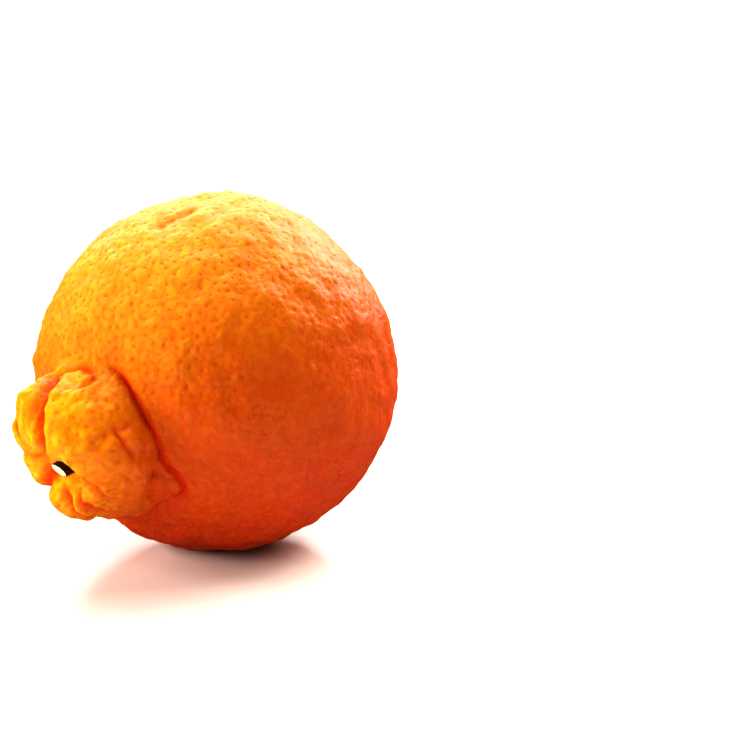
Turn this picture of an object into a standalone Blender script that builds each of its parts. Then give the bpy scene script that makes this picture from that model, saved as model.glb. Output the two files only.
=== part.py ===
"""A shiranui mandarin, lying as it rests after picking.

The fruit is worked out in its own frame, in millimetres: +Z runs from the middle of the body to
the stem, and azimuth 0 is the side that lies on top. The places of its furrows and swells are
given as (azimuth in degrees, distance in mm along the skin from the middle of the stem hollow).
The finished pieces are laid down together, so that the neck points along -X and dips a little,
and the fruit rests on a small flat spot round the origin.
"""

import math

import bmesh
import bpy
import numpy as np
from mathutils import Matrix, Vector, noise

MM = 0.001

# Size and pose
BODY_RADIUS = 42.0
BLOSSOM_DEPTH = 39.6
BLOSSOM_SQUARENESS = 2.18
NECK_DIP = 16.05
REST_RADIUS = 9.0

# Half outline of the neck, from the floor of the stem hollow to the fold where it meets the body:
# (distance from the stem axis, height over the middle of the body)
NECK_OUTLINE = [(0.0, 45.6), (2.4, 45.5), (4.3, 46.8), (5.9, 49.8), (8.2, 52.6), (11.8, 53.0),
                (16.0, 50.2), (18.9, 45.2), (19.4, 41.0)]
FOLD_RADIUS = 20.4
BODY_STEPS = 14
CURVE_STEPS = 24

# Colours, linear, and roughness
RIND_COLOUR = (0.91, 0.24, 0.015)
RIND_ROUGHNESS = 0.42
CALYX_COLOUR = (0.035, 0.02, 0.01)
CALYX_ROUGHNESS = 0.85
STEM_COLOUR = (0.62, 0.48, 0.27)
STEM_ROUGHNESS = 0.75

# Mesh of the fruit: cells along each side of the rounded cube, and the sizes that a cell has in
# proportion to the others, on the neck, round the fold and on the body
CELLS = 31
NECK_CELL = 1.3
FOLD_CELL = 1.0
BODY_CELL = 3.4
FOLD_PLACE = 35.0
FOLD_STRETCH = 4.0
BODY_CELLS_START = 39.0
BODY_CELLS_FULL = 62.0

# Furrows: route, half width and depth
FURROWS = {
    "fold, near side": (
        [(344, 36.2), (336, 36.2), (326, 35.4), (315, 34.4), (300, 33.8), (286, 33.6),
         (270, 33.6), (261, 34.7), (255, 36.2), (249, 37.4), (241, 37.7), (232, 36.8),
         (223, 35.2)], 1.7, 2.2),
    "fold, underneath": (
        [(240, 37.4), (228, 35.8), (214, 35.0), (205, 36.0), (190, 35.6)], 2.8, 1.0),
    "fold, top": (
        [(26, 29.6), (14, 31.0), (3, 32.6), (-6, 33.4), (-15, 32.0)], 2.6, 1.8),
    "fold, far side": (
        [(215, 35.5), (185, 35.5), (155, 34.5), (120, 35.5), (90, 34.5), (60, 35.0),
         (38, 34.5), (24, 33.0)], 3.2, 1.6),
    "between the near and the top lobe": (
        [(18, 31.0), (8, 27.0), (5, 23.0), (4, 19.5), (-1, 16.5), (-8, 14.0), (-15, 11.5),
         (-22, 9.0)], 3.0, 3.3),
    "soft valley round it": (
        [(22, 30.0), (11, 27.0), (8, 23.0), (8, 19.5), (4, 16.5)], 5.0, 1.9),
    "between the top and the far lobe": (
        [(40, 7.0), (46, 10.0), (52, 14.0), (52, 18.0), (46, 24.0), (42, 31.0)], 3.6, 2.8),
    "between the far lobe and the next": (
        [(118, 7.0), (122, 11.0), (127, 16.0), (128, 22.0), (126, 30.0)], 3.6, 2.4),
    "lowest furrow": (
        [(160, 9.5), (167, 12.0), (173, 15.5), (178, 20.0), (176, 29.0)], 3.0, 2.0),
    "low furrow on the near side": (
        [(194, 9.5), (198, 12.0), (200, 15.5), (198, 20.0), (202, 28.0)], 3.0, 2.0),
    "under the near lobe": (
        [(292, 9.0), (280, 12.0), (268, 14.0), (252, 15.5), (236, 18.0), (226, 23.0)], 2.6, 1.0),
    "top of the near lobe": (
        [(2, 25.5), (-10, 26.0), (-18, 29.5), (-14, 34.0)], 2.2, 0.9),
    "line along the top lobe": (
        [(37, 31.0), (30, 25.0), (31, 21.0), (36, 17.0), (40, 12.0)], 2.4, 0.8),
    "line along the far lobe": (
        [(84, 10.0), (88, 15.0), (88, 21.0), (92, 30.0)], 3.0, 1.2),
    "star on the near lobe": (
        [(309, 27.6), (304, 26.4), (299, 26.0), (293, 26.0), (286, 26.6), (276, 26.6)], 2.1, 1.1),
    "right arm of the star": ([(303, 26.0), (301, 28.0), (301, 30.0)], 2.1, 0.9),
    "left arm of the star": ([(301, 26.6), (304, 24.0), (306, 21.0)], 2.2, 0.5),
    "between two knobs of the near lobe": (
        [(287, 31.2), (281, 29.4), (277, 27.8), (269, 27.2)], 2.1, 0.7),
    "low on the near lobe": (
        [(267, 32.6), (260, 31.0), (251, 30.4), (238, 30.8), (224, 32.4)], 2.3, 0.9),
    "dent on top": ([(359, 70.0), (358, 73.0), (357, 75.6), (355, 78.2), (354, 81.0)], 3.4, 0.9),
}
FURROW_STEPS = 4
FURROW_RUN_OUT = 0.18

# Swells and hollows: azimuth, distance along the skin, reach and height
SWELLS = {
    "near lobe, rim": (320, 11.5, 5.0, 2.6),
    "near lobe, corner of the rim": (322, 15.8, 3.8, 1.3),
    "near lobe, notch in the rim": (299, 11.0, 3.8, -1.8),
    "near lobe, rim below the notch": (275, 12.0, 4.0, 1.7),
    "near lobe, crown": (300, 19.0, 10.0, 0.8),
    "near lobe, top": (345, 20.0, 6.0, 1.2),
    "near lobe, upper foot": (318, 31.0, 5.0, 0.8),
    "near lobe, lower foot": (285, 31.0, 5.0, 0.8),
    "top lobe, rim": (22, 11.0, 5.0, 2.4),
    "top lobe, crown": (32, 21.0, 8.0, 1.8),
    "top lobe, foot": (48, 29.0, 6.0, 1.4),
    "lowered rim, far side": (104, 13.0, 9.0, -4.4),
    "lowered rim, underneath": (212, 18.0, 12.0, -3.4),
    "drawn in below, near side": (228, 26.0, 9.0, -2.8),
    "drawn in below": (190, 26.0, 8.0, -2.6),
    "near lobe, lower corner": (248, 34.0, 4.2, 1.0),
    "shoulder beyond the top lobe": (56, 41.0, 6.0, 1.6),
    "full shoulder": (64, 50.0, 14.0, 0.6),
    "hollow round the dent": (357, 75.0, 5.0, -0.4),
    "ridge beside the dent": (350, 79.0, 3.5, 0.5),
    "blossom dimple": (0, 143.0, 6.0, -0.9),
}

# The floor of the stem hollow stays smooth up to here, and the relief rises over the next stretch
CALM_FLOOR = 5.5
CALM_RISE = 4.5

# The way that relief stands out is the outward way of the outline, softened over this stretch,
# so that it doesn't fold over itself where the outline turns tightly
RELIEF_SOFTNESS = 5.5
SWELL_SOFTNESS = 3.0

# Knobs that cover the neck, as pillows with creases between them, in two sizes, and the slow
# unevenness of the body. The noise runs between about plus and minus NOISE_PEAK, and the
# creases are rounded by CREASE_SOFTNESS.
KNOB_SIZE = 6.0
KNOB_HEIGHT = 0.8
SMALL_KNOB_SIZE = 3.1
SMALL_KNOB_HEIGHT = 0.38
KNOBS_END = 37.0
KNOBS_FADE = 6.0
WAVE_SIZE = 17.0
WAVE_HEIGHT = 0.5
NOISE_PEAK = 0.6
CREASE_SOFTNESS = 0.12

# Dried calyx on the floor of the hollow, and the clipped stem on it
SEAT_GAP = 0.3
CALYX_RADIUS = 2.8
CALYX_LOBES = 5
CALYX_LOBE_LENGTH = 0.7
CALYX_THICKNESS = 1.1
CALYX_CUP = 0.35
CALYX_SIDES = 40
CALYX_RINGS = 10
STEM_RADIUS = 2.1
STEM_LENGTH = 3.1
STEM_LEAN = 1.6
STEM_LEAN_AZIMUTH = 109.0
STEM_CUT_TILT = 25.0
STEM_CUT_AZIMUTH = 175.0
STEM_SIDES = 24
STEM_BEVEL = 0.25
SHARP_ANGLE = 50.0


def smooth_curve(points, steps):
    """Points of a smooth curve through the given ones, with even spacing between each two."""
    knots = np.array(points, float)
    gaps = np.sqrt(np.linalg.norm(np.diff(knots, axis=0), axis=1))
    times = np.concatenate([[0.0], np.cumsum(gaps)])
    slopes = np.gradient(knots, times, axis=0)
    curve = []
    for start, end, t0, t1, m0, m1 in zip(knots[:-1], knots[1:], times[:-1], times[1:],
                                          slopes[:-1], slopes[1:]):
        u = np.linspace(0.0, 1.0, steps, endpoint=False)[:, None]
        span = t1 - t0
        curve.append((2 * u**3 - 3 * u**2 + 1) * start + (u**3 - 2 * u**2 + u) * span * m0
                     + (3 * u**2 - 2 * u**3) * end + (u**3 - u**2) * span * m1)
    curve.append(knots[-1:])
    return np.vstack(curve)


def body_outline():
    """Half outline of the body below the fold: a circle, and a blunter curve at the blossom end."""
    first = math.asin(FOLD_RADIUS / BODY_RADIUS)
    points = []
    for angle in np.linspace(first, math.pi / 2, BODY_STEPS // 2, endpoint=False):
        points.append((BODY_RADIUS * math.sin(angle), BODY_RADIUS * math.cos(angle)))
    for angle in np.linspace(math.pi / 2, math.pi, BODY_STEPS // 2 + 1):
        power = 2.0 / BLOSSOM_SQUARENESS
        points.append((BODY_RADIUS * abs(math.sin(angle)) ** power,
                       -BLOSSOM_DEPTH * abs(math.cos(angle)) ** power))
    return points


OUTLINE = smooth_curve(NECK_OUTLINE + body_outline(), CURVE_STEPS)
ALONG = np.concatenate([[0.0], np.cumsum(np.linalg.norm(np.diff(OUTLINE, axis=0), axis=1))])
LENGTH = ALONG[-1]


def base_points(azimuth, along):
    """Points of the turned outline, before lobes and furrows; azimuth in radians."""
    radius = np.interp(along, ALONG, OUTLINE[:, 0])
    height = np.interp(along, ALONG, OUTLINE[:, 1])
    return np.stack([radius * np.cos(azimuth), radius * np.sin(azimuth), height], axis=-1)


def base_normals(azimuth, along, step):
    """Outward directions of the turned outline, softened over a stretch of it on either side."""
    ahead = base_points(np.zeros_like(along), np.minimum(along + step, LENGTH))
    back = base_points(np.zeros_like(along), np.maximum(along - step, 0.0))
    run = ahead - back
    out, up = -run[:, 2], run[:, 0]
    size = np.hypot(out, up)
    return np.stack([out / size * np.cos(azimuth), out / size * np.sin(azimuth), up / size], axis=-1)


def skin_distance(polar):
    """Distance along the skin for a share of the way from the stem (0) to the blossom end (1)."""
    middle = (ALONG[1:] + ALONG[:-1]) / 2
    on_body = np.clip((middle - BODY_CELLS_START) / (BODY_CELLS_FULL - BODY_CELLS_START), 0.0, 1.0)
    at_fold = np.exp(-((middle - FOLD_PLACE) / FOLD_STRETCH) ** 2)
    cell = NECK_CELL + (BODY_CELL - NECK_CELL) * on_body + (FOLD_CELL - NECK_CELL) * at_fold
    cells = np.concatenate([[0.0], np.cumsum(np.diff(ALONG) / cell)])
    return np.interp(polar * cells[-1], cells, ALONG)


def skin_spot(azimuth, along):
    """One place on the turned outline, from degrees and millimetres, and the way out there."""
    azimuth = np.array([math.radians(azimuth)])
    along = np.array([float(along)])
    return base_points(azimuth, along)[0], base_normals(azimuth, along, SWELL_SOFTNESS)[0]


def furrow_depth(points, route, half_width, depth):
    """How deep a furrow along the route cuts at each point: a V with rounded shoulders that runs
    out at both ends."""
    dense = smooth_curve(route, FURROW_STEPS)
    stops = base_points(np.radians(dense[:, 0]), dense[:, 1])
    lengths = np.linalg.norm(np.diff(stops, axis=0), axis=1)
    reached = np.concatenate([[0.0], np.cumsum(lengths)])
    cut = np.zeros(len(points))
    for start, end, before, length in zip(stops[:-1], stops[1:], reached[:-1], lengths):
        way = (end - start) / length
        share = np.clip((points - start) @ way, 0.0, length)
        gap = np.linalg.norm(points - start - share[:, None] * way, axis=1)
        place = (before + share) / reached[-1]
        run_out = np.sqrt(np.clip(np.minimum(place, 1.0 - place) / FURROW_RUN_OUT, 0.0, 1.0))
        cut = np.maximum(cut, depth * run_out * np.clip(1.0 - gap / half_width, 0.0, 1.0) ** 2)
    return cut


def waves(points, size):
    """Smooth unevenness, between about -1 and 1."""
    return np.array([noise.noise(Vector(point)) for point in points / size]) / NOISE_PEAK


def pillows(points, size):
    """Soft pillows with creases between them, between about 0 and 1."""
    return np.hypot(waves(points, size), CREASE_SOFTNESS) - CREASE_SOFTNESS


def fine_relief(points, along):
    """Height of the furrows, knobs and waves over the turned outline."""
    cut = np.zeros(len(points))
    for route, half_width, depth in FURROWS.values():
        cut = np.maximum(cut, furrow_depth(points, route, half_width, depth))
    on_neck = np.clip((KNOBS_END - along) / KNOBS_FADE, 0.0, 1.0)
    knobs = (KNOB_HEIGHT * pillows(points, KNOB_SIZE)
             + SMALL_KNOB_HEIGHT * pillows(points, SMALL_KNOB_SIZE))
    return on_neck * (knobs - KNOB_HEIGHT / 2) + WAVE_HEIGHT * waves(points, WAVE_SIZE) - cut


def swell_shift(points):
    """Shift by the swells and hollows. Each one moves its patch one way, so a rim keeps its form."""
    shift = np.zeros_like(points)
    for azimuth, distance, reach, lift in SWELLS.values():
        middle, way = skin_spot(azimuth, distance)
        gap = np.linalg.norm(points - middle, axis=1)
        shift += (lift * np.exp(-(gap / reach) ** 2))[:, None] * way
    return shift


def skin_points(azimuth, along):
    """Points of the finished skin."""
    points = base_points(azimuth, along)
    calm = np.clip((along - CALM_FLOOR) / CALM_RISE, 0.0, 1.0)[:, None]
    fine = fine_relief(points, along)[:, None] * base_normals(azimuth, along, RELIEF_SOFTNESS)
    return points + calm * (fine + swell_shift(points))


def lay_down():
    """Turn and lift that bring the fruit's own frame to its resting place."""
    dip = math.radians(NECK_DIP)
    stem = Vector((-math.cos(dip), 0.0, -math.sin(dip)))
    top = Vector((-math.sin(dip), 0.0, math.cos(dip)))
    side = stem.cross(top)
    turn = Matrix((top, side, stem)).transposed()
    lift = math.sqrt(BODY_RADIUS ** 2 - REST_RADIUS ** 2)
    return np.array(turn), lift


def rounded_cube(cells):
    """A cube cut into even cells, whose corners look evenly out from its middle."""
    bm = bmesh.new()
    bmesh.ops.create_cube(bm, size=2.0)
    bmesh.ops.subdivide_edges(bm, edges=bm.edges[:], cuts=cells - 1, use_grid_fill=True)
    return bm


def fruit_mesh(cells):
    bm = rounded_cube(cells)
    bm.verts.ensure_lookup_table()
    cube = np.array([v.co for v in bm.verts])
    warped = np.tan(cube * math.pi / 4)
    warped /= np.linalg.norm(warped, axis=1)[:, None]
    polar = np.arccos(np.clip(warped[:, 2], -1.0, 1.0)) / math.pi
    azimuth = np.arctan2(warped[:, 1], warped[:, 0])
    along = skin_distance(polar)
    turn, lift = lay_down()
    placed = skin_points(azimuth, along) @ turn.T
    placed[:, 2] = np.maximum(placed[:, 2] + lift, 0.0)
    for vertex, spot in zip(bm.verts, placed * MM):
        vertex.co = spot
    bmesh.ops.triangulate(bm, faces=bm.faces[:], quad_method='SHORT_EDGE')
    mesh = bpy.data.meshes.new("fruit")
    bm.to_mesh(mesh)
    bm.free()
    mesh.shade_smooth()
    return mesh


def seat(bm, offset):
    """Lay a small piece down with the fruit, offset along the stem axis in mm."""
    turn, lift = lay_down()
    shift = Matrix.Translation((0.0, 0.0, lift * MM)) @ Matrix(turn.tolist()).to_4x4()
    bm.transform(shift @ Matrix.Translation((0.0, 0.0, offset * MM)))


def finish(bm, name):
    bmesh.ops.triangulate(bm, faces=bm.faces[:], quad_method='SHORT_EDGE')
    mesh = bpy.data.meshes.new(name)
    bm.to_mesh(mesh)
    bm.free()
    mesh.shade_smooth()
    mesh.set_sharp_from_angle(angle=math.radians(SHARP_ANGLE))
    return mesh


def calyx_mesh():
    """A thin button with five short points, slightly cupped."""
    bm = bmesh.new()
    bmesh.ops.create_uvsphere(bm, u_segments=CALYX_SIDES, v_segments=CALYX_RINGS, radius=1.0)
    for vertex in bm.verts:
        azimuth = math.atan2(vertex.co.y, vertex.co.x)
        flat = math.hypot(vertex.co.x, vertex.co.y)
        point = 0.5 + 0.5 * math.cos(CALYX_LOBES * azimuth)
        reach = CALYX_RADIUS + CALYX_LOBE_LENGTH * point ** 2
        cup = CALYX_CUP * flat ** 4
        vertex.co.x *= reach * MM
        vertex.co.y *= reach * MM
        vertex.co.z = (vertex.co.z * CALYX_THICKNESS / 2 + cup) * MM
    seat(bm, NECK_OUTLINE[0][1] + SEAT_GAP + CALYX_THICKNESS / 2)
    return finish(bm, "calyx")


def stem_mesh():
    """A short leaning stem, clipped on the slant."""
    bm = bmesh.new()
    bmesh.ops.create_cone(bm, cap_ends=True, segments=STEM_SIDES, radius1=STEM_RADIUS * MM,
                          radius2=STEM_RADIUS * MM, depth=STEM_LENGTH * MM)
    slope = math.tan(math.radians(STEM_CUT_TILT))
    cut = math.radians(STEM_CUT_AZIMUTH)
    lean = math.radians(STEM_LEAN_AZIMUTH)
    for vertex in bm.verts:
        if vertex.co.z > 0.0:
            vertex.co.z -= slope * (vertex.co.x * math.cos(cut) + vertex.co.y * math.sin(cut))
            vertex.co.x += STEM_LEAN * MM * math.cos(lean)
            vertex.co.y += STEM_LEAN * MM * math.sin(lean)
    bmesh.ops.bevel(bm, geom=bm.edges[:], offset=STEM_BEVEL * MM, segments=1, affect='EDGES')
    seat(bm, NECK_OUTLINE[0][1] + 2 * SEAT_GAP + CALYX_THICKNESS + STEM_LENGTH / 2)
    return finish(bm, "stem_stub")


def material(name, colour, roughness):
    """A plain Principled material."""
    skin = bpy.data.materials.new(name)
    skin.use_nodes = True
    shader = skin.node_tree.nodes["Principled BSDF"]
    shader.inputs["Base Color"].default_value = (*colour, 1.0)
    shader.inputs["Roughness"].default_value = roughness
    shader.inputs["Metallic"].default_value = 0.0
    return skin


def main():
    for old in list(bpy.data.objects):
        bpy.data.objects.remove(old, do_unlink=True)
    home = bpy.data.collections.new("shiranui_mandarin")
    bpy.context.scene.collection.children.link(home)
    pieces = [
        (fruit_mesh(CELLS), "rind", RIND_COLOUR, RIND_ROUGHNESS),
        (calyx_mesh(), "dried_calyx", CALYX_COLOUR, CALYX_ROUGHNESS),
        (stem_mesh(), "cut_stem", STEM_COLOUR, STEM_ROUGHNESS),
    ]
    for mesh, finish_name, colour, roughness in pieces:
        mesh.materials.append(material(finish_name, colour, roughness))
        home.objects.link(bpy.data.objects.new(mesh.name, mesh))


main()
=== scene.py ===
"""Looks of the shiranui mandarin: its rind with knobs, wrinkles and oil pits, the dried calyx and
the clipped stem, on a plain pale floor.

The skin repeats the construction's own formula with finer cells, in the fruit's own frame, in
millimetres: +Z runs from the middle of the body to the stem, and azimuth 0 is the side that lies
on top. Places are (azimuth in degrees, distance in mm along the skin from the stem hollow).
"""

import math

import bmesh
import bpy
import numpy as np
from mathutils import Matrix, Vector, kdtree, noise


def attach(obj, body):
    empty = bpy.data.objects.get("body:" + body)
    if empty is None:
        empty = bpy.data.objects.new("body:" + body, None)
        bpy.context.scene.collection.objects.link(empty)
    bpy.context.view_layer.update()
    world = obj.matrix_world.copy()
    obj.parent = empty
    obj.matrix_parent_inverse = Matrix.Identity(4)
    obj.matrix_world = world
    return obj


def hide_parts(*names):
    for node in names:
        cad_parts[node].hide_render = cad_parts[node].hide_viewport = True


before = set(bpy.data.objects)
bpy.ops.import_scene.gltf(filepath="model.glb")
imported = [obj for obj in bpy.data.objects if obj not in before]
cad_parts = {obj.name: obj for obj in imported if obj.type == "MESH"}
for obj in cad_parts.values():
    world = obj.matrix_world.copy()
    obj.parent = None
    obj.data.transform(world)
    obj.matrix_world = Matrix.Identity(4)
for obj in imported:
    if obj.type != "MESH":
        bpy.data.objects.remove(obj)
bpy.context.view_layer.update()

MM = 0.001

# Size and pose
BODY_RADIUS = 42.0
BLOSSOM_DEPTH = 39.6
BLOSSOM_SQUARENESS = 2.18
NECK_DIP = 16.05
REST_RADIUS = 9.0

# Half outline of the neck: (distance from the stem axis, height over the middle of the body)
NECK_OUTLINE = [(0.0, 45.6), (2.4, 45.5), (4.3, 46.8), (5.9, 49.8), (8.2, 52.6), (11.8, 53.0),
                (16.0, 50.2), (18.9, 45.2), (19.4, 41.0)]
FOLD_RADIUS = 20.4
BODY_STEPS = 14
CURVE_STEPS = 24

# Mesh of the skin: cells along each side of the rounded cube, and the sizes that a cell has in
# proportion to the others, on the neck, round the fold and on the body
CELLS = 129
NECK_CELL = 0.8
FOLD_CELL = 0.7
BODY_CELL = 1.2
FOLD_PLACE = 35.0
FOLD_STRETCH = 4.0
BODY_CELLS_START = 39.0
BODY_CELLS_FULL = 62.0

# Furrows: route, half width and depth
FURROWS = {
    "fold, near side": (
        [(344, 36.2), (336, 36.2), (326, 35.4), (315, 34.4), (300, 33.8), (286, 33.6),
         (270, 33.6), (261, 34.7), (255, 36.2), (249, 37.4), (241, 37.7), (232, 36.8),
         (223, 35.2)], 1.7, 2.2),
    "fold, underneath": (
        [(240, 37.4), (228, 35.8), (214, 35.0), (205, 36.0), (190, 35.6)], 2.8, 1.0),
    "fold, top": (
        [(26, 29.6), (14, 31.0), (3, 32.6), (-6, 33.4), (-15, 32.0)], 2.6, 1.8),
    "fold, far side": (
        [(215, 35.5), (185, 35.5), (155, 34.5), (120, 35.5), (90, 34.5), (60, 35.0),
         (38, 34.5), (24, 33.0)], 3.2, 1.6),
    "between the near and the top lobe": (
        [(18, 31.0), (8, 27.0), (5, 23.0), (4, 19.5), (-1, 16.5), (-8, 14.0), (-15, 11.5),
         (-22, 9.0)], 3.0, 3.3),
    "soft valley round it": (
        [(22, 30.0), (11, 27.0), (8, 23.0), (8, 19.5), (4, 16.5)], 5.0, 1.9),
    "between the top and the far lobe": (
        [(40, 7.0), (46, 10.0), (52, 14.0), (52, 18.0), (46, 24.0), (42, 31.0)], 3.6, 2.8),
    "between the far lobe and the next": (
        [(118, 7.0), (122, 11.0), (127, 16.0), (128, 22.0), (126, 30.0)], 3.6, 2.4),
    "lowest furrow": (
        [(160, 9.5), (167, 12.0), (173, 15.5), (178, 20.0), (176, 29.0)], 3.0, 2.0),
    "low furrow on the near side": (
        [(194, 9.5), (198, 12.0), (200, 15.5), (198, 20.0), (202, 28.0)], 3.0, 2.0),
    "under the near lobe": (
        [(292, 9.0), (280, 12.0), (268, 14.0), (252, 15.5), (236, 18.0), (226, 23.0)], 2.6, 1.0),
    "top of the near lobe": (
        [(2, 25.5), (-10, 26.0), (-18, 29.5), (-14, 34.0)], 2.2, 0.9),
    "line along the top lobe": (
        [(37, 31.0), (30, 25.0), (31, 21.0), (36, 17.0), (40, 12.0)], 2.4, 0.8),
    "line along the far lobe": (
        [(84, 10.0), (88, 15.0), (88, 21.0), (92, 30.0)], 3.0, 1.2),
    "star on the near lobe": (
        [(309, 27.6), (304, 26.4), (299, 26.0), (293, 26.0), (286, 26.6), (276, 26.6)], 2.1, 1.1),
    "right arm of the star": ([(303, 26.0), (301, 28.0), (301, 30.0)], 2.1, 0.9),
    "left arm of the star": ([(301, 26.6), (304, 24.0), (306, 21.0)], 2.2, 0.5),
    "between two knobs of the near lobe": (
        [(287, 31.2), (281, 29.4), (277, 27.8), (269, 27.2)], 2.1, 0.7),
    "low on the near lobe": (
        [(267, 32.6), (260, 31.0), (251, 30.4), (238, 30.8), (224, 32.4)], 2.3, 0.9),
    "dent on top": ([(359, 70.0), (358, 73.0), (357, 75.6), (355, 78.2), (354, 81.0)], 3.4, 0.9),
}
FURROW_STEPS = 4
FURROW_RUN_OUT = 0.18

# Swells and hollows: azimuth, distance along the skin, reach and height
SWELLS = {
    "near lobe, rim": (320, 11.5, 5.0, 2.6),
    "near lobe, corner of the rim": (322, 15.8, 3.8, 1.3),
    "near lobe, notch in the rim": (299, 11.0, 3.8, -1.8),
    "near lobe, rim below the notch": (275, 12.0, 4.0, 1.7),
    "near lobe, crown": (300, 19.0, 10.0, 0.8),
    "near lobe, top": (345, 20.0, 6.0, 1.2),
    "near lobe, upper foot": (318, 31.0, 5.0, 0.8),
    "near lobe, lower foot": (285, 31.0, 5.0, 0.8),
    "top lobe, rim": (22, 11.0, 5.0, 2.4),
    "top lobe, crown": (32, 21.0, 8.0, 1.8),
    "top lobe, foot": (48, 29.0, 6.0, 1.4),
    "lowered rim, far side": (104, 13.0, 9.0, -4.4),
    "lowered rim, underneath": (212, 18.0, 12.0, -3.4),
    "drawn in below, near side": (228, 26.0, 9.0, -2.8),
    "drawn in below": (190, 26.0, 8.0, -2.6),
    "near lobe, lower corner": (248, 34.0, 4.2, 1.0),
    "shoulder beyond the top lobe": (56, 41.0, 6.0, 1.6),
    "full shoulder": (64, 50.0, 14.0, 0.6),
    "hollow round the dent": (357, 75.0, 5.0, -0.4),
    "ridge beside the dent": (350, 79.0, 3.5, 0.5),
    "blossom dimple": (0, 143.0, 6.0, -0.9),
}

# The floor of the stem hollow stays smooth up to here, and the relief rises over the next stretch
CALM_FLOOR = 5.5
CALM_RISE = 4.5

# The way that relief stands out is the outward way of the outline, softened over this stretch
RELIEF_SOFTNESS = 5.5
SWELL_SOFTNESS = 3.0

# Knobs of the neck and the slow unevenness of the body, as in the construction
KNOB_SIZE = 6.0
KNOB_HEIGHT = 0.8
SMALL_KNOB_SIZE = 3.1
SMALL_KNOB_HEIGHT = 0.38
KNOBS_END = 37.0
KNOBS_FADE = 6.0
WAVE_SIZE = 17.0
WAVE_HEIGHT = 0.5
NOISE_PEAK = 0.6
CREASE_SOFTNESS = 0.12

# Fine relief of the rind: shallow dents, pillows between wrinkles, pebbles on the neck, grain and
# oil pits. The places shift the noise, so that one kind of relief doesn't follow another.
DENT_SIZE = 4.6
DENT_HEIGHT = 0.38
PILLOW_SIZE = 2.3
PILLOW_HEIGHT = 0.18
PILLOWS_ON_NECK = 0.4
PEBBLE_SIZE = 3.4
PEBBLE_HEIGHT = 0.34
GRAIN_SIZE = 1.2
GRAIN_HEIGHT = 0.035
PIT_SPACING = 1.95
PIT_RADIUS = 0.55
PIT_DEPTH = 0.26
PIT_FAINTEST = 0.2
PIT_CORE = 0.78
PIT_NARROWEST = 0.55
PIT_SEED = 11
PILLOW_PLACE = 40.0
PEBBLE_PLACE = 70.0
GRAIN_PLACE = -25.0

# Scar at the blossom end, with short folds round it
SCAR_RADIUS = 1.7
SCAR_EDGE = 1.5
SCAR_DEPTH = 0.35
SCAR_FOLDS = 9
SCAR_FOLD_REACH = 4.0
SCAR_FOLD_DEPTH = 0.12

# Depth at which a furrow has its full painted shade, and how fast the painted shade of a crease fades
FURROW_SHADE_FULL = 1.6
CREASE_SHADE_RISE = 2.0

# Dried calyx and clipped stem
SEAT_GAP = 0.3
CALYX_RADIUS = 2.8
CALYX_LOBES = 5
CALYX_LOBE_LENGTH = 0.7
CALYX_THICKNESS = 1.1
CALYX_CUP = 0.35
CALYX_SIDES = 120
CALYX_RINGS = 30
CALYX_GRAIN = 0.12
CALYX_GRAIN_TURNS = 6.0
CALYX_GRAIN_RINGS = 2.0
STEM_RADIUS = 2.1
STEM_LENGTH = 3.1
STEM_LEAN = 1.6
STEM_LEAN_AZIMUTH = 109.0
STEM_CUT_TILT = 25.0
STEM_CUT_AZIMUTH = 175.0
STEM_SIDES = 72
STEM_RINGS = 12
STEM_FLUTES = 11
STEM_FLUTE_DEPTH = 0.07
STEM_FLUTE_FADE = 6
STEM_WANDER = 0.05
STEM_WANDER_TURNS = 3.0
STEM_INSET = 0.1
STEM_END_ANGLE = 45.0
STEM_END_SLACK = 1e-6
STEM_WOOD = 0.92
CUT_UNEVENNESS = 0.06
CUT_GRAIN = 2.0
SHARP_ANGLE = 50.0

# Colours, linear. The rind goes from deep to warm along the sunny and lit way, which faces up and
# towards the stem and the lamps. This is partly the rind's own change of tone between its sunny and
# shaded sides, and partly painted light and shade: painted light makes the upper side lighter,
# yellower and paler, and painted shade makes the lower side deeper. The neck is yellower towards its
# lit side, which faces the window at the left; this is partly its own paler tone and partly painted
# light. The levels are metres along these ways.
SKIN_DEEP = (0.52, 0.044, 0.0002, 1.0)
SKIN_MIDDLE = (0.55, 0.102, 0.0005, 1.0)
SKIN_WARM = (0.77, 0.30, 0.018, 1.0)
SKIN_NECK = (0.88, 0.335, 0.006, 1.0)
# Painted shade in the oil pits
PIT_SHADE_COLOUR = (0.62, 0.08, 0.001, 1.0)
# Painted shade in the furrows and the fold
FURROW_SHADE_COLOUR = (0.70, 0.042, 0.0003, 1.0)
SCAR_COLOUR = (0.14, 0.075, 0.02, 1.0)
SUNNY_AND_LIT_WAY = (-0.25, 0.25, 0.94)
MIDDLE_LEVELS = (0.008, 0.046)
WARM_LEVELS = (0.042, 0.076)
PATCH_SIZE = 25.0
PATCH_NOISE = (0.2, 0.8)
PATCH_SHIFT = 0.006
# Painted light on the neck: the way towards the window at the left, along which the neck turns
# yellower
NECK_LIT_SIDE_WAY = (-0.71, 0.70, 0.0)
NECK_LIT_SIDE_LEVELS = (0.014, 0.036)
CALYX_DARK = (0.012, 0.008, 0.005, 1.0)
CALYX_PALE = (0.06, 0.035, 0.018, 1.0)
# Bark near black: partly its own dried colour, partly painted shade of the deep stem hollow
BARK_DARK = (0.006, 0.004, 0.003, 1.0)
BARK_PALE = (0.04, 0.024, 0.014, 1.0)
WOOD_PALE = (0.86, 0.74, 0.50, 1.0)
WOOD_DARK = (0.55, 0.38, 0.19, 1.0)

# How much colour each kind of mark shows, and the noise or tone that it shows between. The mottle is
# the rind's own tone; the creases, furrows and oil pits show painted shade.
MOTTLE_SIZE = 1.6
MOTTLE_NOISE = (0.45, 0.75)
MOTTLE_SHARE = 0.15
CREASE_SHADE_SHARE = 0.3
FURROW_SHADE_TONES = (0.05, 0.9)
FURROW_SHADE_SHARE = 0.75
PIT_SHADE_SHARE = 0.6
PIT_SHADE_SHARE_ON_NECK = 0.6

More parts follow.
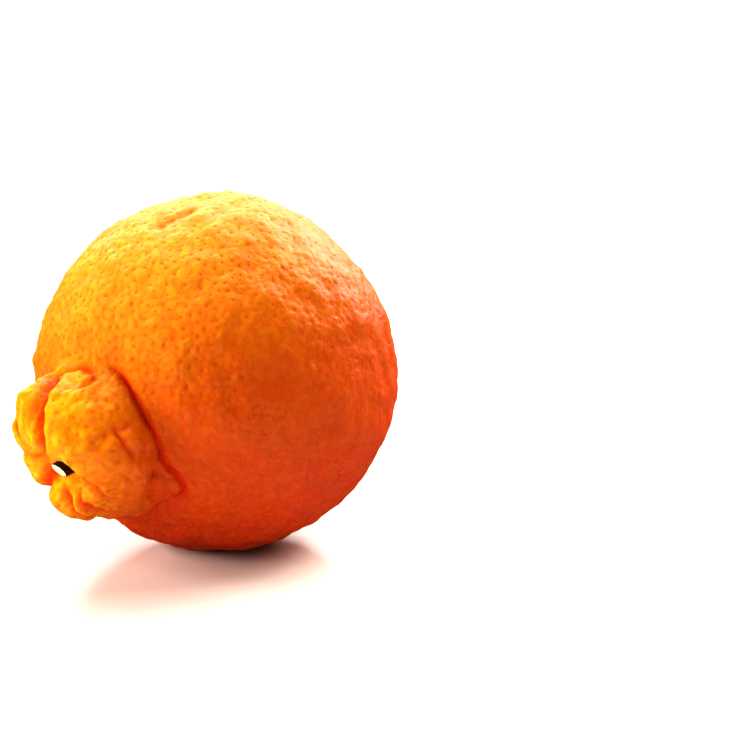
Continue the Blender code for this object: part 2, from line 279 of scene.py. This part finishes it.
# Bump under the mesh's own detail, as size and depth in mm, and gloss
PIT_BUMP = 0.07
GRIT_SIZE = 1.4
GRIT_BUMP = 0.3
DUST_SIZE = 0.5
DUST_BUMP = 0.05
GLOSS_PATCH = 4.0
GLOSS_NOISE = (0.3, 0.7)
RIND_ROUGHNESS = (0.42, 0.52)
RIND_IOR = 1.45
RIND_SPECULAR = 0.3
SUBSURFACE_SHARE = 0.2
SUBSURFACE_REACH = 0.002
SUBSURFACE_TINT = (1.0, 0.2, 0.04)
CALYX_ROUGHNESS = 0.85
CALYX_BUMP_SIZE = 0.7
CALYX_BUMP = 0.12
DRY_NOISE = (0.35, 0.7)
STEM_ROUGHNESS = 0.8
STEM_BUMP_SIZE = 0.4
STEM_BUMP = 0.08
WOOD_NOISE = (0.45, 0.75)
WOOD_SHARE = 0.5
CUT_EDGE = (0.4, 0.6)

# The photograph's view: the frame is 750 px wide, and the body is 178 px in radius round (215, 372)
FRAME_PX = 750
BODY_PX = 178
BODY_PLACE_PX = (215, 372)
LENS_MM = 100.0
SENSOR_MM = 36.0
VIEW_AZIMUTH = -44.4
VIEW_ELEVATION = 12.0

# A round floor just under the fruit, small enough to be brightly lit all over
FLOOR_RADIUS = 0.65
FLOOR_SIDES = 96
FLOOR_GAP = 0.0002
FLOOR_COLOUR = (0.87, 0.79, 0.69, 1.0)
FLOOR_ROUGHNESS = 0.26
FLOOR_SPECULAR = 0.8

# White surroundings, dimmer as a light than they look
WORLD_AS_LIGHT = 0.03
WORLD_AS_SEEN = 1.05

# Softboxes, placed from the middle of the body: metres to the camera's right, up and towards the
# camera, size in metres, watts, and whether it shines on the rind as well as lighting it
SOFTBOXES = {
    "window behind": (0.0, 0.8, -0.75, 1.4, 16.0, True),
    "window behind at the right": (0.75, 0.6, -0.6, 0.7, 10.0, True),
    "window above at the right": (0.6, 1.0, -0.2, 0.8, 12.5, False),
    "window at the left": (-0.95, 0.35, 0.05, 0.5, 12.0, False),
    "window in front at the left": (-0.6, 0.5, 0.8, 0.8, 5.4, False),
}


def smooth_curve(points, steps):
    """Points of a smooth curve through the given ones, with even spacing between each two."""
    knots = np.array(points, float)
    gaps = np.sqrt(np.linalg.norm(np.diff(knots, axis=0), axis=1))
    times = np.concatenate([[0.0], np.cumsum(gaps)])
    slopes = np.gradient(knots, times, axis=0)
    curve = []
    for start, end, t0, t1, m0, m1 in zip(knots[:-1], knots[1:], times[:-1], times[1:],
                                          slopes[:-1], slopes[1:]):
        u = np.linspace(0.0, 1.0, steps, endpoint=False)[:, None]
        span = t1 - t0
        curve.append((2 * u**3 - 3 * u**2 + 1) * start + (u**3 - 2 * u**2 + u) * span * m0
                     + (3 * u**2 - 2 * u**3) * end + (u**3 - u**2) * span * m1)
    curve.append(knots[-1:])
    return np.vstack(curve)


def body_outline():
    """Half outline of the body below the fold: a circle, and a blunter curve at the blossom end."""
    first = math.asin(FOLD_RADIUS / BODY_RADIUS)
    points = []
    for angle in np.linspace(first, math.pi / 2, BODY_STEPS // 2, endpoint=False):
        points.append((BODY_RADIUS * math.sin(angle), BODY_RADIUS * math.cos(angle)))
    for angle in np.linspace(math.pi / 2, math.pi, BODY_STEPS // 2 + 1):
        power = 2.0 / BLOSSOM_SQUARENESS
        points.append((BODY_RADIUS * abs(math.sin(angle)) ** power,
                       -BLOSSOM_DEPTH * abs(math.cos(angle)) ** power))
    return points


OUTLINE = smooth_curve(NECK_OUTLINE + body_outline(), CURVE_STEPS)
ALONG = np.concatenate([[0.0], np.cumsum(np.linalg.norm(np.diff(OUTLINE, axis=0), axis=1))])
LENGTH = ALONG[-1]


def base_points(azimuth, along):
    """Points of the turned outline, before lobes and furrows; azimuth in radians."""
    radius = np.interp(along, ALONG, OUTLINE[:, 0])
    height = np.interp(along, ALONG, OUTLINE[:, 1])
    return np.stack([radius * np.cos(azimuth), radius * np.sin(azimuth), height], axis=-1)


def base_normals(azimuth, along, step):
    """Outward directions of the turned outline, softened over a stretch of it on either side."""
    ahead = base_points(np.zeros_like(along), np.minimum(along + step, LENGTH))
    back = base_points(np.zeros_like(along), np.maximum(along - step, 0.0))
    run = ahead - back
    out, up = -run[:, 2], run[:, 0]
    size = np.hypot(out, up)
    return np.stack([out / size * np.cos(azimuth), out / size * np.sin(azimuth), up / size], axis=-1)


def skin_distance(polar):
    """Distance along the skin for a share of the way from the stem (0) to the blossom end (1)."""
    middle = (ALONG[1:] + ALONG[:-1]) / 2
    on_body = np.clip((middle - BODY_CELLS_START) / (BODY_CELLS_FULL - BODY_CELLS_START), 0.0, 1.0)
    at_fold = np.exp(-((middle - FOLD_PLACE) / FOLD_STRETCH) ** 2)
    cell = NECK_CELL + (BODY_CELL - NECK_CELL) * on_body + (FOLD_CELL - NECK_CELL) * at_fold
    cells = np.concatenate([[0.0], np.cumsum(np.diff(ALONG) / cell)])
    return np.interp(polar * cells[-1], cells, ALONG)


def skin_spot(azimuth, along):
    """One place on the turned outline, from degrees and millimetres, and the way out there."""
    azimuth = np.array([math.radians(azimuth)])
    along = np.array([float(along)])
    return base_points(azimuth, along)[0], base_normals(azimuth, along, SWELL_SOFTNESS)[0]


def furrow_depth(points, route, half_width, depth):
    """How deep a furrow along the route cuts at each point: a V with rounded shoulders that runs
    out at both ends."""
    dense = smooth_curve(route, FURROW_STEPS)
    stops = base_points(np.radians(dense[:, 0]), dense[:, 1])
    lengths = np.linalg.norm(np.diff(stops, axis=0), axis=1)
    reached = np.concatenate([[0.0], np.cumsum(lengths)])
    cut = np.zeros(len(points))
    for start, end, before, length in zip(stops[:-1], stops[1:], reached[:-1], lengths):
        way = (end - start) / length
        share = np.clip((points - start) @ way, 0.0, length)
        gap = np.linalg.norm(points - start - share[:, None] * way, axis=1)
        place = (before + share) / reached[-1]
        run_out = np.sqrt(np.clip(np.minimum(place, 1.0 - place) / FURROW_RUN_OUT, 0.0, 1.0))
        cut = np.maximum(cut, depth * run_out * np.clip(1.0 - gap / half_width, 0.0, 1.0) ** 2)
    return cut


def waves(points, size):
    """Smooth unevenness, between about -1 and 1."""
    return np.array([noise.noise(Vector(point)) for point in points / size]) / NOISE_PEAK


def pillows(points, size):
    """Soft pillows with creases between them, between about 0 and 1."""
    return np.hypot(waves(points, size), CREASE_SOFTNESS) - CREASE_SOFTNESS


def all_furrows(points):
    """Depth of the deepest furrow at each point."""
    cut = np.zeros(len(points))
    for route, half_width, depth in FURROWS.values():
        cut = np.maximum(cut, furrow_depth(points, route, half_width, depth))
    return cut


def main_relief(points, on_neck, cut):
    """Height of the furrows, knobs and waves over the turned outline."""
    knobs = (KNOB_HEIGHT * pillows(points, KNOB_SIZE)
             + SMALL_KNOB_HEIGHT * pillows(points, SMALL_KNOB_SIZE))
    return on_neck * (knobs - KNOB_HEIGHT / 2) + WAVE_HEIGHT * waves(points, WAVE_SIZE) - cut


def swell_shift(points):
    """Shift by the swells and hollows. Each one moves its patch one way, so a rim keeps its form."""
    shift = np.zeros_like(points)
    for azimuth, distance, reach, lift in SWELLS.values():
        middle, way = skin_spot(azimuth, distance)
        gap = np.linalg.norm(points - middle, axis=1)
        shift += (lift * np.exp(-(gap / reach) ** 2))[:, None] * way
    return shift


def pit_choice(points):
    """Numbers of a seeded choice of the points, none nearer to another than PIT_SPACING."""
    order = np.random.default_rng(PIT_SEED).permutation(len(points))
    taken = {}
    chosen = []
    for index in order:
        point = points[index]
        home = tuple((point // PIT_SPACING).astype(int))
        near = [other for dx in (-1, 0, 1) for dy in (-1, 0, 1) for dz in (-1, 0, 1)
                for other in taken.get((home[0] + dx, home[1] + dy, home[2] + dz), ())]
        if all(((point - other) ** 2).sum() > PIT_SPACING ** 2 for other in near):
            taken.setdefault(home, []).append(point)
            chosen.append(index)
    return np.array(chosen)


def nearest_of(centres, points):
    """For each point, the number of the nearest centre and how far away it is."""
    tree = kdtree.KDTree(len(centres))
    for index, centre in enumerate(centres):
        tree.insert(centre, index)
    tree.balance()
    found = [tree.find(point) for point in points]
    return np.array([index for _, index, _ in found]), np.array([gap for _, _, gap in found])


def scar_share(points):
    """How far each point is in the small scar at the blossom end, from 0 to 1."""
    out = np.hypot(points[:, 0], points[:, 1])
    return np.where(points[:, 2] < 0.0, np.clip(SCAR_EDGE - out / SCAR_RADIUS, 0.0, 1.0), 0.0)


def scar_folds(points):
    """Height of the short folds that run out from the scar."""
    out = np.hypot(points[:, 0], points[:, 1])
    azimuth = np.arctan2(points[:, 1], points[:, 0])
    folds = np.cos(SCAR_FOLDS * azimuth) * np.exp(-((out - SCAR_RADIUS) / SCAR_FOLD_REACH) ** 2)
    return np.where(points[:, 2] < 0.0, SCAR_FOLD_DEPTH * folds * np.clip(out, 0.0, 1.0), 0.0)


def rind_relief(points, on_neck, pits):
    """Height of the rind's own dents, pillows, grain and pits."""
    dents = DENT_HEIGHT * waves(points, DENT_SIZE)
    wrinkles = PILLOW_HEIGHT * (pillows(points + PILLOW_PLACE, PILLOW_SIZE) - 0.5)
    wrinkles *= 1.0 + (PILLOWS_ON_NECK - 1.0) * on_neck
    pebbles = PEBBLE_HEIGHT * on_neck * waves(points + PEBBLE_PLACE, PEBBLE_SIZE)
    grain = GRAIN_HEIGHT * waves(points + GRAIN_PLACE, GRAIN_SIZE)
    raised = dents + wrinkles + pebbles + grain + scar_folds(points)
    return raised - PIT_DEPTH * pits - SCAR_DEPTH * scar_share(points)


def lay_down():
    """Turn and lift that bring the fruit's own frame to its resting place."""
    dip = math.radians(NECK_DIP)
    stem = Vector((-math.cos(dip), 0.0, -math.sin(dip)))
    top = Vector((-math.sin(dip), 0.0, math.cos(dip)))
    side = stem.cross(top)
    turn = Matrix((top, side, stem)).transposed()
    lift = math.sqrt(BODY_RADIUS ** 2 - REST_RADIUS ** 2)
    return np.array(turn), lift


def keep_values(mesh, name, values, domain='POINT'):
    """Keep one number for each vertex or face, for the material to read."""
    kept = mesh.attributes.new(name, 'FLOAT', domain)
    kept.data.foreach_set("value", np.asarray(values, np.float32))


def keep_pits(mesh, points, pit_points, pit_spots, strength):
    """Keep the middle of the nearest oil pit, and its width, for each face. The material draws the
    pit's bump and its painted shade from them as finely as it is looked at."""
    corners = np.empty(len(mesh.loops), np.int32)
    mesh.loops.foreach_get("vertex_index", corners)
    middles = points[corners.reshape(-1, 4)].mean(axis=1)
    nearest, _ = nearest_of(pit_points, middles)
    kept = mesh.attributes.new("pit_middle", 'FLOAT_VECTOR', 'FACE')
    kept.data.foreach_set("vector", pit_spots[nearest].astype(np.float32).ravel())
    widths = PIT_CORE * (PIT_NARROWEST + (1.0 - PIT_NARROWEST) * strength[nearest]) * MM
    keep_values(mesh, "pit_width", widths, 'FACE')


def rounded_cube():
    """A cube cut into even cells, and the azimuth and distance along the skin of its corners."""
    bm = bmesh.new()
    bmesh.ops.create_cube(bm, size=2.0)
    bmesh.ops.subdivide_edges(bm, edges=bm.edges[:], cuts=CELLS - 1, use_grid_fill=True)
    bm.verts.ensure_lookup_table()
    cube = np.array([v.co for v in bm.verts])
    warped = np.tan(cube * math.pi / 4)
    warped /= np.linalg.norm(warped, axis=1)[:, None]
    polar = np.arccos(np.clip(warped[:, 2], -1.0, 1.0)) / math.pi
    azimuth = np.arctan2(warped[:, 1], warped[:, 0])
    return bm, azimuth, skin_distance(polar)


def skin_mesh():
    """The whole rind as one closed mesh."""
    bm, azimuth, along = rounded_cube()
    points = base_points(azimuth, along)
    calm = np.clip((along - CALM_FLOOR) / CALM_RISE, 0.0, 1.0)
    on_neck = np.clip((KNOBS_END - along) / KNOBS_FADE, 0.0, 1.0)
    cut = all_furrows(points)
    chosen = pit_choice(points)
    strength = np.random.default_rng(PIT_SEED).uniform(PIT_FAINTEST, 1.0, len(chosen))
    nearest, gaps = nearest_of(points[chosen], points)
    pits = calm * strength[nearest] * np.exp(-(gaps / PIT_RADIUS) ** 2)
    height = main_relief(points, on_neck, cut) + rind_relief(points, on_neck, pits)
    shift = height[:, None] * base_normals(azimuth, along, RELIEF_SOFTNESS) + swell_shift(points)
    own = points + calm[:, None] * shift
    turn, lift = lay_down()
    placed = own @ turn.T
    placed[:, 2] = np.maximum(placed[:, 2] + lift, 0.0)
    for vertex, spot in zip(bm.verts, placed * MM):
        vertex.co = spot

    mesh = bpy.data.meshes.new("fruit_skin")
    bm.to_mesh(mesh)
    bm.free()
    mesh.shade_smooth()
    keep_pits(mesh, points, points[chosen], placed[chosen] * MM, strength)
    # Painted shade in the furrows and the fold, by their depth
    keep_values(mesh, "furrow", np.clip(cut / FURROW_SHADE_FULL, 0.0, 1.0) * calm)
    keep_values(mesh, "on_neck", on_neck)
    # Painted shade in the creases between the wrinkle pillows, kept for the material
    swollen = pillows(points + PILLOW_PLACE, PILLOW_SIZE)
    keep_values(mesh, "crease", 1.0 - np.clip(CREASE_SHADE_RISE * swollen, 0.0, 1.0))
    keep_values(mesh, "scar", scar_share(points))
    return mesh


def seat(bm, offset):
    """Lay a small piece down with the fruit, offset along the stem axis in mm."""
    turn, lift = lay_down()
    shift = Matrix.Translation((0.0, 0.0, lift * MM)) @ Matrix(turn.tolist()).to_4x4()
    bm.transform(shift @ Matrix.Translation((0.0, 0.0, offset * MM)))


def finish(bm, name):
    """The mesh of a small piece, smooth apart from its sharp edges."""
    mesh = bpy.data.meshes.new(name)
    bm.to_mesh(mesh)
    bm.free()
    mesh.shade_smooth()
    mesh.set_sharp_from_angle(angle=math.radians(SHARP_ANGLE))
    return mesh


def calyx_mesh():
    """A thin button with five short points, slightly cupped, with a dry grain."""
    bm = bmesh.new()
    bmesh.ops.create_uvsphere(bm, u_segments=CALYX_SIDES, v_segments=CALYX_RINGS, radius=1.0)
    for vertex in bm.verts:
        azimuth = math.atan2(vertex.co.y, vertex.co.x)
        flat = math.hypot(vertex.co.x, vertex.co.y)
        point = 0.5 + 0.5 * math.cos(CALYX_LOBES * azimuth)
        reach = CALYX_RADIUS + CALYX_LOBE_LENGTH * point ** 2
        place = Vector((CALYX_GRAIN_TURNS * azimuth, CALYX_GRAIN_RINGS * flat, 0.0))
        grain = CALYX_GRAIN * noise.noise(place) * flat
        cup = CALYX_CUP * flat ** 4
        thickness = CALYX_THICKNESS / 2 - CALYX_GRAIN
        vertex.co.x *= reach * MM
        vertex.co.y *= reach * MM
        vertex.co.z = (vertex.co.z * thickness + cup + grain) * MM
    seat(bm, NECK_OUTLINE[0][1] + SEAT_GAP + CALYX_THICKNESS / 2)
    return finish(bm, "calyx_detail")


def stem_mesh():
    """A short leaning stem with fluted bark, clipped on the slant. The cut end is wood in a ring
    of bark. It starts as a ball, whose top and bottom become the flat ends."""
    bm = bmesh.new()
    bmesh.ops.create_uvsphere(bm, u_segments=STEM_SIDES, v_segments=2 * STEM_RINGS, radius=1.0)
    slope = math.tan(math.radians(STEM_CUT_TILT))
    cut = math.radians(STEM_CUT_AZIMUTH)
    lean = math.radians(STEM_LEAN_AZIMUTH)
    end = math.radians(STEM_END_ANGLE)
    cut_layer = bm.verts.layers.float.new("cut")
    for vertex in bm.verts:
        azimuth = math.atan2(vertex.co.y, vertex.co.x)
        polar = math.acos(max(-1.0, min(1.0, vertex.co.z)))
        rise = math.cos(polar)
        side = min(1.0, math.sin(min(polar, math.pi - polar)) / math.sin(end))
        level = max(-1.0, min(1.0, rise / math.cos(end)))
        flute = STEM_FLUTE_DEPTH * math.cos(STEM_FLUTES * azimuth) * side ** STEM_FLUTE_FADE
        around = Vector((STEM_WANDER_TURNS * math.cos(azimuth),
                         STEM_WANDER_TURNS * math.sin(azimuth), level))
        wander = STEM_WANDER * noise.noise(around)
        radius = STEM_RADIUS * side - flute * side + wander * side - STEM_INSET * side
        x, y = radius * math.cos(azimuth), radius * math.sin(azimuth)
        upper = (level + 1.0) / 2.0
        z = (upper - 0.5) * STEM_LENGTH
        z -= upper * slope * (x * math.cos(cut) + y * math.sin(cut))
        x += upper * STEM_LEAN * math.cos(lean)
        y += upper * STEM_LEAN * math.sin(lean)
        if level >= 1.0 - STEM_END_SLACK:
            z += CUT_UNEVENNESS * noise.noise(Vector((CUT_GRAIN * x, CUT_GRAIN * y, 0.0)))
            vertex[cut_layer] = 1.0 if side < STEM_WOOD else 0.0
        vertex.co = Vector((x, y, z)) * MM
    seat(bm, NECK_OUTLINE[0][1] + 2 * SEAT_GAP + CALYX_THICKNESS + STEM_LENGTH / 2)
    return finish(bm, "stem_detail")


def new_material(name):
    """A new node material, its tree and its Principled shader."""
    skin = bpy.data.materials.new(name)
    skin.use_nodes = True
    tree = skin.node_tree
    return skin, tree, tree.nodes["Principled BSDF"]


def link(tree, start, end):
    """Lead a value from one socket to another."""
    tree.links.new(start, end)


def attribute(tree, name):
    """A number kept on the mesh."""
    node = tree.nodes.new("ShaderNodeAttribute")
    node.attribute_name = name
    return node.outputs["Fac"]


def pit_profile(tree):
    """0 in the middle of an oil pit and 1 outside it."""
    middle = tree.nodes.new("ShaderNodeAttribute")
    middle.attribute_name = "pit_middle"
    gap = tree.nodes.new("ShaderNodeVectorMath")
    gap.operation = 'DISTANCE'
    link(tree, object_place(tree, 1.0), gap.inputs[0])
    link(tree, middle.outputs["Vector"], gap.inputs[1])
    share = math_node(tree, 'DIVIDE', gap.outputs["Value"], attribute(tree, "pit_width"))
    profile = tree.nodes.new("ShaderNodeMapRange")
    profile.interpolation_type = 'SMOOTHSTEP'
    link(tree, share, profile.inputs["Value"])
    return profile.outputs["Result"]


def object_place(tree, scale):
    """Places on the object, in units of 1 / scale metres."""
    place = tree.nodes.new("ShaderNodeTexCoord").outputs["Object"]
    sized = tree.nodes.new("ShaderNodeVectorMath")
    sized.operation = 'SCALE'
    sized.inputs["Scale"].default_value = scale
    link(tree, place, sized.inputs[0])
    return sized.outputs[0]


def noise_at(tree, size_mm, detail=2.0, roughness=0.5):
    """Noise whose features are about size_mm wide."""
    node = tree.nodes.new("ShaderNodeTexNoise")
    node.inputs["Scale"].default_value = 1.0
    node.inputs["Detail"].default_value = detail
    node.inputs["Roughness"].default_value = roughness
    link(tree, object_place(tree, 1.0 / (size_mm * MM)), node.inputs["Vector"])
    return node.outputs["Fac"]


def ranged(tree, value, low, high, to_low=0.0, to_high=1.0):
    """Value mapped from one range to another and held inside it."""
    node = tree.nodes.new("ShaderNodeMapRange")
    node.inputs["From Min"].default_value = low
    node.inputs["From Max"].default_value = high
    node.inputs["To Min"].default_value = to_low
    node.inputs["To Max"].default_value = to_high
    link(tree, value, node.inputs["Value"])
    return node.outputs["Result"]


def math_node(tree, operation, first, second):
    """A sum, product or the like of two values, each a socket or a plain number."""
    node = tree.nodes.new("ShaderNodeMath")
    node.operation = operation
    for socket, value in zip(node.inputs, (first, second)):
        if isinstance(value, (int, float)):
            socket.default_value = value
        else:
            link(tree, value, socket)
    return node.outputs[0]


def mixed(tree, share, first, second):
    """A colour between two, by share."""
    node = tree.nodes.new("ShaderNodeMix")
    node.data_type = 'RGBA'
    link(tree, share, node.inputs[0])
    for socket, value in zip((node.inputs[6], node.inputs[7]), (first, second)):
        if isinstance(value, tuple):
            socket.default_value = value
        else:
            link(tree, value, socket)
    return node.outputs[2]


def bumped(tree, shader, height, depth_mm, before=None):
    """Bump of the given depth, laid over another one if there is one."""
    node = tree.nodes.new("ShaderNodeBump")
    node.inputs["Strength"].default_value = 1.0
    node.inputs["Distance"].default_value = depth_mm * MM
    link(tree, height, node.inputs["Height"])
    if before is not None:
        link(tree, before, node.inputs["Normal"])
    link(tree, node.outputs["Normal"], shader.inputs["Normal"])
    return node.outputs["Normal"]


def along_direction(tree, direction):
    """Distance in metres along a direction, from the flat spot that the fruit rests on."""
    node = tree.nodes.new("ShaderNodeVectorMath")
    node.operation = 'DOT_PRODUCT'
    node.inputs[1].default_value = direction
    link(tree, object_place(tree, 1.0), node.inputs[0])
    return node.outputs["Value"]


def rind_colour(tree, pits):
    """Colour of the rind: its slow change of tone with painted light above and painted shade below,
    painted light on the neck, then mottle, painted shade in creases, furrows and oil pits, and the
    scar.
    """
    patches = ranged(tree, noise_at(tree, PATCH_SIZE), *PATCH_NOISE, -PATCH_SHIFT, PATCH_SHIFT)
    # Painted light and shade: lighter and yellower up and towards the lamps, deeper below, on top of
    # the rind's own change of tone
    tone = math_node(tree, 'ADD', along_direction(tree, SUNNY_AND_LIT_WAY), patches)
    colour = mixed(tree, ranged(tree, tone, *MIDDLE_LEVELS), SKIN_DEEP, SKIN_MIDDLE)
    colour = mixed(tree, ranged(tree, tone, *WARM_LEVELS), colour, SKIN_WARM)
    on_neck = attribute(tree, "on_neck")
    # Painted light on the neck: yellower towards the window at the left, over the neck's own paler
    # tone
    lit_neck_side = ranged(tree, along_direction(tree, NECK_LIT_SIDE_WAY), *NECK_LIT_SIDE_LEVELS)
    colour = mixed(tree, math_node(tree, 'MULTIPLY', on_neck, lit_neck_side), colour, SKIN_NECK)
    mottle = ranged(tree, noise_at(tree, MOTTLE_SIZE, detail=3.0), *MOTTLE_NOISE, 0.0, MOTTLE_SHARE)
    colour = mixed(tree, mottle, colour, SKIN_WARM)
    # Painted shade in the creases: the rind deepens towards its deep colour there
    crease = ranged(tree, attribute(tree, "crease"), 0.0, 1.0, 0.0, CREASE_SHADE_SHARE)
    colour = mixed(tree, crease, colour, SKIN_DEEP)
    # Painted shade in the furrows and the fold
    furrow = ranged(tree, attribute(tree, "furrow"), *FURROW_SHADE_TONES, 0.0, FURROW_SHADE_SHARE)
    colour = mixed(tree, furrow, colour, FURROW_SHADE_COLOUR)
    # Painted shade in the oil pits, weaker on the neck
    pit_shade = math_node(tree, 'MULTIPLY', ranged(tree, pits, 0.0, 1.0, PIT_SHADE_SHARE, 0.0),
                          ranged(tree, on_neck, 0.0, 1.0, 1.0, PIT_SHADE_SHARE_ON_NECK))
    colour = mixed(tree, pit_shade, colour, PIT_SHADE_COLOUR)
    return mixed(tree, attribute(tree, "scar"), colour, SCAR_COLOUR)


def rind_material():
    """Orange rind: oil pits, grit and a dust of fine relief, with a soft and slightly uneven gloss."""
    skin, tree, shader = new_material("rind")
    pits = pit_profile(tree)
    link(tree, rind_colour(tree, pits), shader.inputs["Base Color"])
    pitted = bumped(tree, shader, pits, PIT_BUMP)
    gritty = bumped(tree, shader, noise_at(tree, GRIT_SIZE, detail=1.0), GRIT_BUMP, pitted)
    bumped(tree, shader, noise_at(tree, DUST_SIZE, detail=3.0), DUST_BUMP, gritty)
    gloss = ranged(tree, noise_at(tree, GLOSS_PATCH), *GLOSS_NOISE, *RIND_ROUGHNESS)
    link(tree, gloss, shader.inputs["Roughness"])
    shader.inputs["IOR"].default_value = RIND_IOR
    shader.inputs["Specular IOR Level"].default_value = RIND_SPECULAR
    shader.inputs["Subsurface Weight"].default_value = SUBSURFACE_SHARE
    shader.inputs["Subsurface Radius"].default_value = SUBSURFACE_TINT
    shader.inputs["Subsurface Scale"].default_value = SUBSURFACE_REACH
    return skin


def calyx_material():
    """Dark, dry and dull, with paler grain."""
    skin, tree, shader = new_material("dried_calyx")
    grain = noise_at(tree, CALYX_BUMP_SIZE, detail=4.0, roughness=0.65)
    colour = mixed(tree, ranged(tree, grain, *DRY_NOISE), CALYX_DARK, CALYX_PALE)
    link(tree, colour, shader.inputs["Base Color"])
    shader.inputs["Roughness"].default_value = CALYX_ROUGHNESS
    bumped(tree, shader, grain, CALYX_BUMP)
    return skin


def stem_material():
    """Dried bark, near black partly as painted shade of the deep stem hollow, and pale wood where the
    stem is cut.
    """
    skin, tree, shader = new_material("cut_stem")
    grain = noise_at(tree, STEM_BUMP_SIZE, detail=4.0, roughness=0.6)
    bark = mixed(tree, ranged(tree, grain, *DRY_NOISE), BARK_DARK, BARK_PALE)
    wood = mixed(tree, ranged(tree, grain, *WOOD_NOISE, 0.0, WOOD_SHARE), WOOD_PALE, WOOD_DARK)
    cut = ranged(tree, attribute(tree, "cut"), *CUT_EDGE)
    link(tree, mixed(tree, cut, bark, wood), shader.inputs["Base Color"])
    shader.inputs["Roughness"].default_value = STEM_ROUGHNESS
    bumped(tree, shader, grain, STEM_BUMP)
    return skin


def add_piece(mesh, material, node):
    """Put a piece on the fruit's body in place of a node of the construction."""
    mesh.materials.append(material)
    piece = bpy.data.objects.new(mesh.name, mesh)
    bpy.context.scene.collection.objects.link(piece)
    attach(piece, "root")
    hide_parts(node)
    return piece


def view_axes():
    """Directions of the photograph's view: towards the camera, to the right and up."""
    azimuth, elevation = math.radians(VIEW_AZIMUTH), math.radians(VIEW_ELEVATION)
    back = Vector((math.sin(azimuth) * math.cos(elevation),
                   -math.cos(azimuth) * math.cos(elevation), math.sin(elevation)))
    right = Vector((math.cos(azimuth), math.sin(azimuth), 0.0))
    return back, right, back.cross(right)


def body_middle():
    """Middle of the round body as it rests."""
    return Vector((0.0, 0.0, lay_down()[1] * MM))


def add_camera():
    """The camera stands where the body is as large as in the photograph, and turns aside until
    the body is where the photograph has it."""
    camera = bpy.data.objects.new("camera", bpy.data.cameras.new("camera"))
    camera.data.lens = LENS_MM
    camera.data.sensor_width = SENSOR_MM
    bpy.context.scene.collection.objects.link(camera)
    focal_px = LENS_MM / SENSOR_MM * FRAME_PX
    radius = BODY_RADIUS * MM
    distance = math.hypot(focal_px * radius / BODY_PX, radius)
    back, right, up = view_axes()
    aside = math.atan((BODY_PLACE_PX[0] - FRAME_PX / 2) / focal_px)
    tipped = math.atan((BODY_PLACE_PX[1] - FRAME_PX / 2) / focal_px)
    turned = Matrix.Rotation(aside, 3, 'Z') @ Matrix((right, up, back)).transposed()
    turned = Matrix.Rotation(tipped, 3, turned.col[0]) @ turned
    camera.matrix_world = Matrix.Translation(body_middle() + back * distance) @ turned.to_4x4()
    bpy.context.scene.camera = camera


def add_softbox(name, side, rise, towards, size, power, glossy):
    """A square soft light facing the middle of the body."""
    light = bpy.data.lights.new(name, 'AREA')
    light.size = size
    light.energy = power
    softbox = bpy.data.objects.new(name, light)
    softbox.visible_glossy = glossy
    bpy.context.scene.collection.objects.link(softbox)
    back, right, _ = view_axes()
    level_back = Vector((back.x, back.y, 0.0)).normalized()
    offset = right * side + Vector((0.0, 0.0, rise)) + level_back * towards
    softbox.location = body_middle() + offset
    softbox.rotation_euler = (-offset).to_track_quat('-Z', 'Y').to_euler()


def add_floor():
    """A plain pale floor with a slight gloss."""
    mesh = bpy.data.meshes.new("floor")
    bm = bmesh.new()
    bmesh.ops.create_circle(bm, cap_ends=True, segments=FLOOR_SIDES, radius=FLOOR_RADIUS)
    bm.to_mesh(mesh)
    bm.free()
    skin, tree, shader = new_material("floor")
    shader.inputs["Base Color"].default_value = FLOOR_COLOUR
    shader.inputs["Roughness"].default_value = FLOOR_ROUGHNESS
    shader.inputs["Specular IOR Level"].default_value = FLOOR_SPECULAR
    mesh.materials.append(skin)
    floor = bpy.data.objects.new("floor", mesh)
    floor.location.z = -FLOOR_GAP
    floor.visible_glossy = False
    bpy.context.scene.collection.objects.link(floor)


def add_world():
    """Plain white surroundings."""
    world = bpy.data.worlds.new("studio")
    world.use_nodes = True
    tree = world.node_tree
    shine = tree.nodes["Background"]
    shine.inputs["Color"].default_value = (1.0, 1.0, 1.0, 1.0)
    seen = tree.nodes.new("ShaderNodeLightPath").outputs["Is Camera Ray"]
    link(tree, ranged(tree, seen, 0.0, 1.0, WORLD_AS_LIGHT, WORLD_AS_SEEN), shine.inputs["Strength"])
    bpy.context.scene.world = world


def main():
    add_piece(skin_mesh(), rind_material(), "fruit")
    add_piece(calyx_mesh(), calyx_material(), "calyx")
    add_piece(stem_mesh(), stem_material(), "stem_stub")
    add_floor()
    add_world()
    add_camera()
    for name, (side, rise, towards, size, power, glossy) in SOFTBOXES.items():
        add_softbox(name, side, rise, towards, size, power, glossy)
    bpy.context.scene.view_settings.view_transform = 'Standard'
    bpy.context.scene.view_settings.look = 'High Contrast'


main()
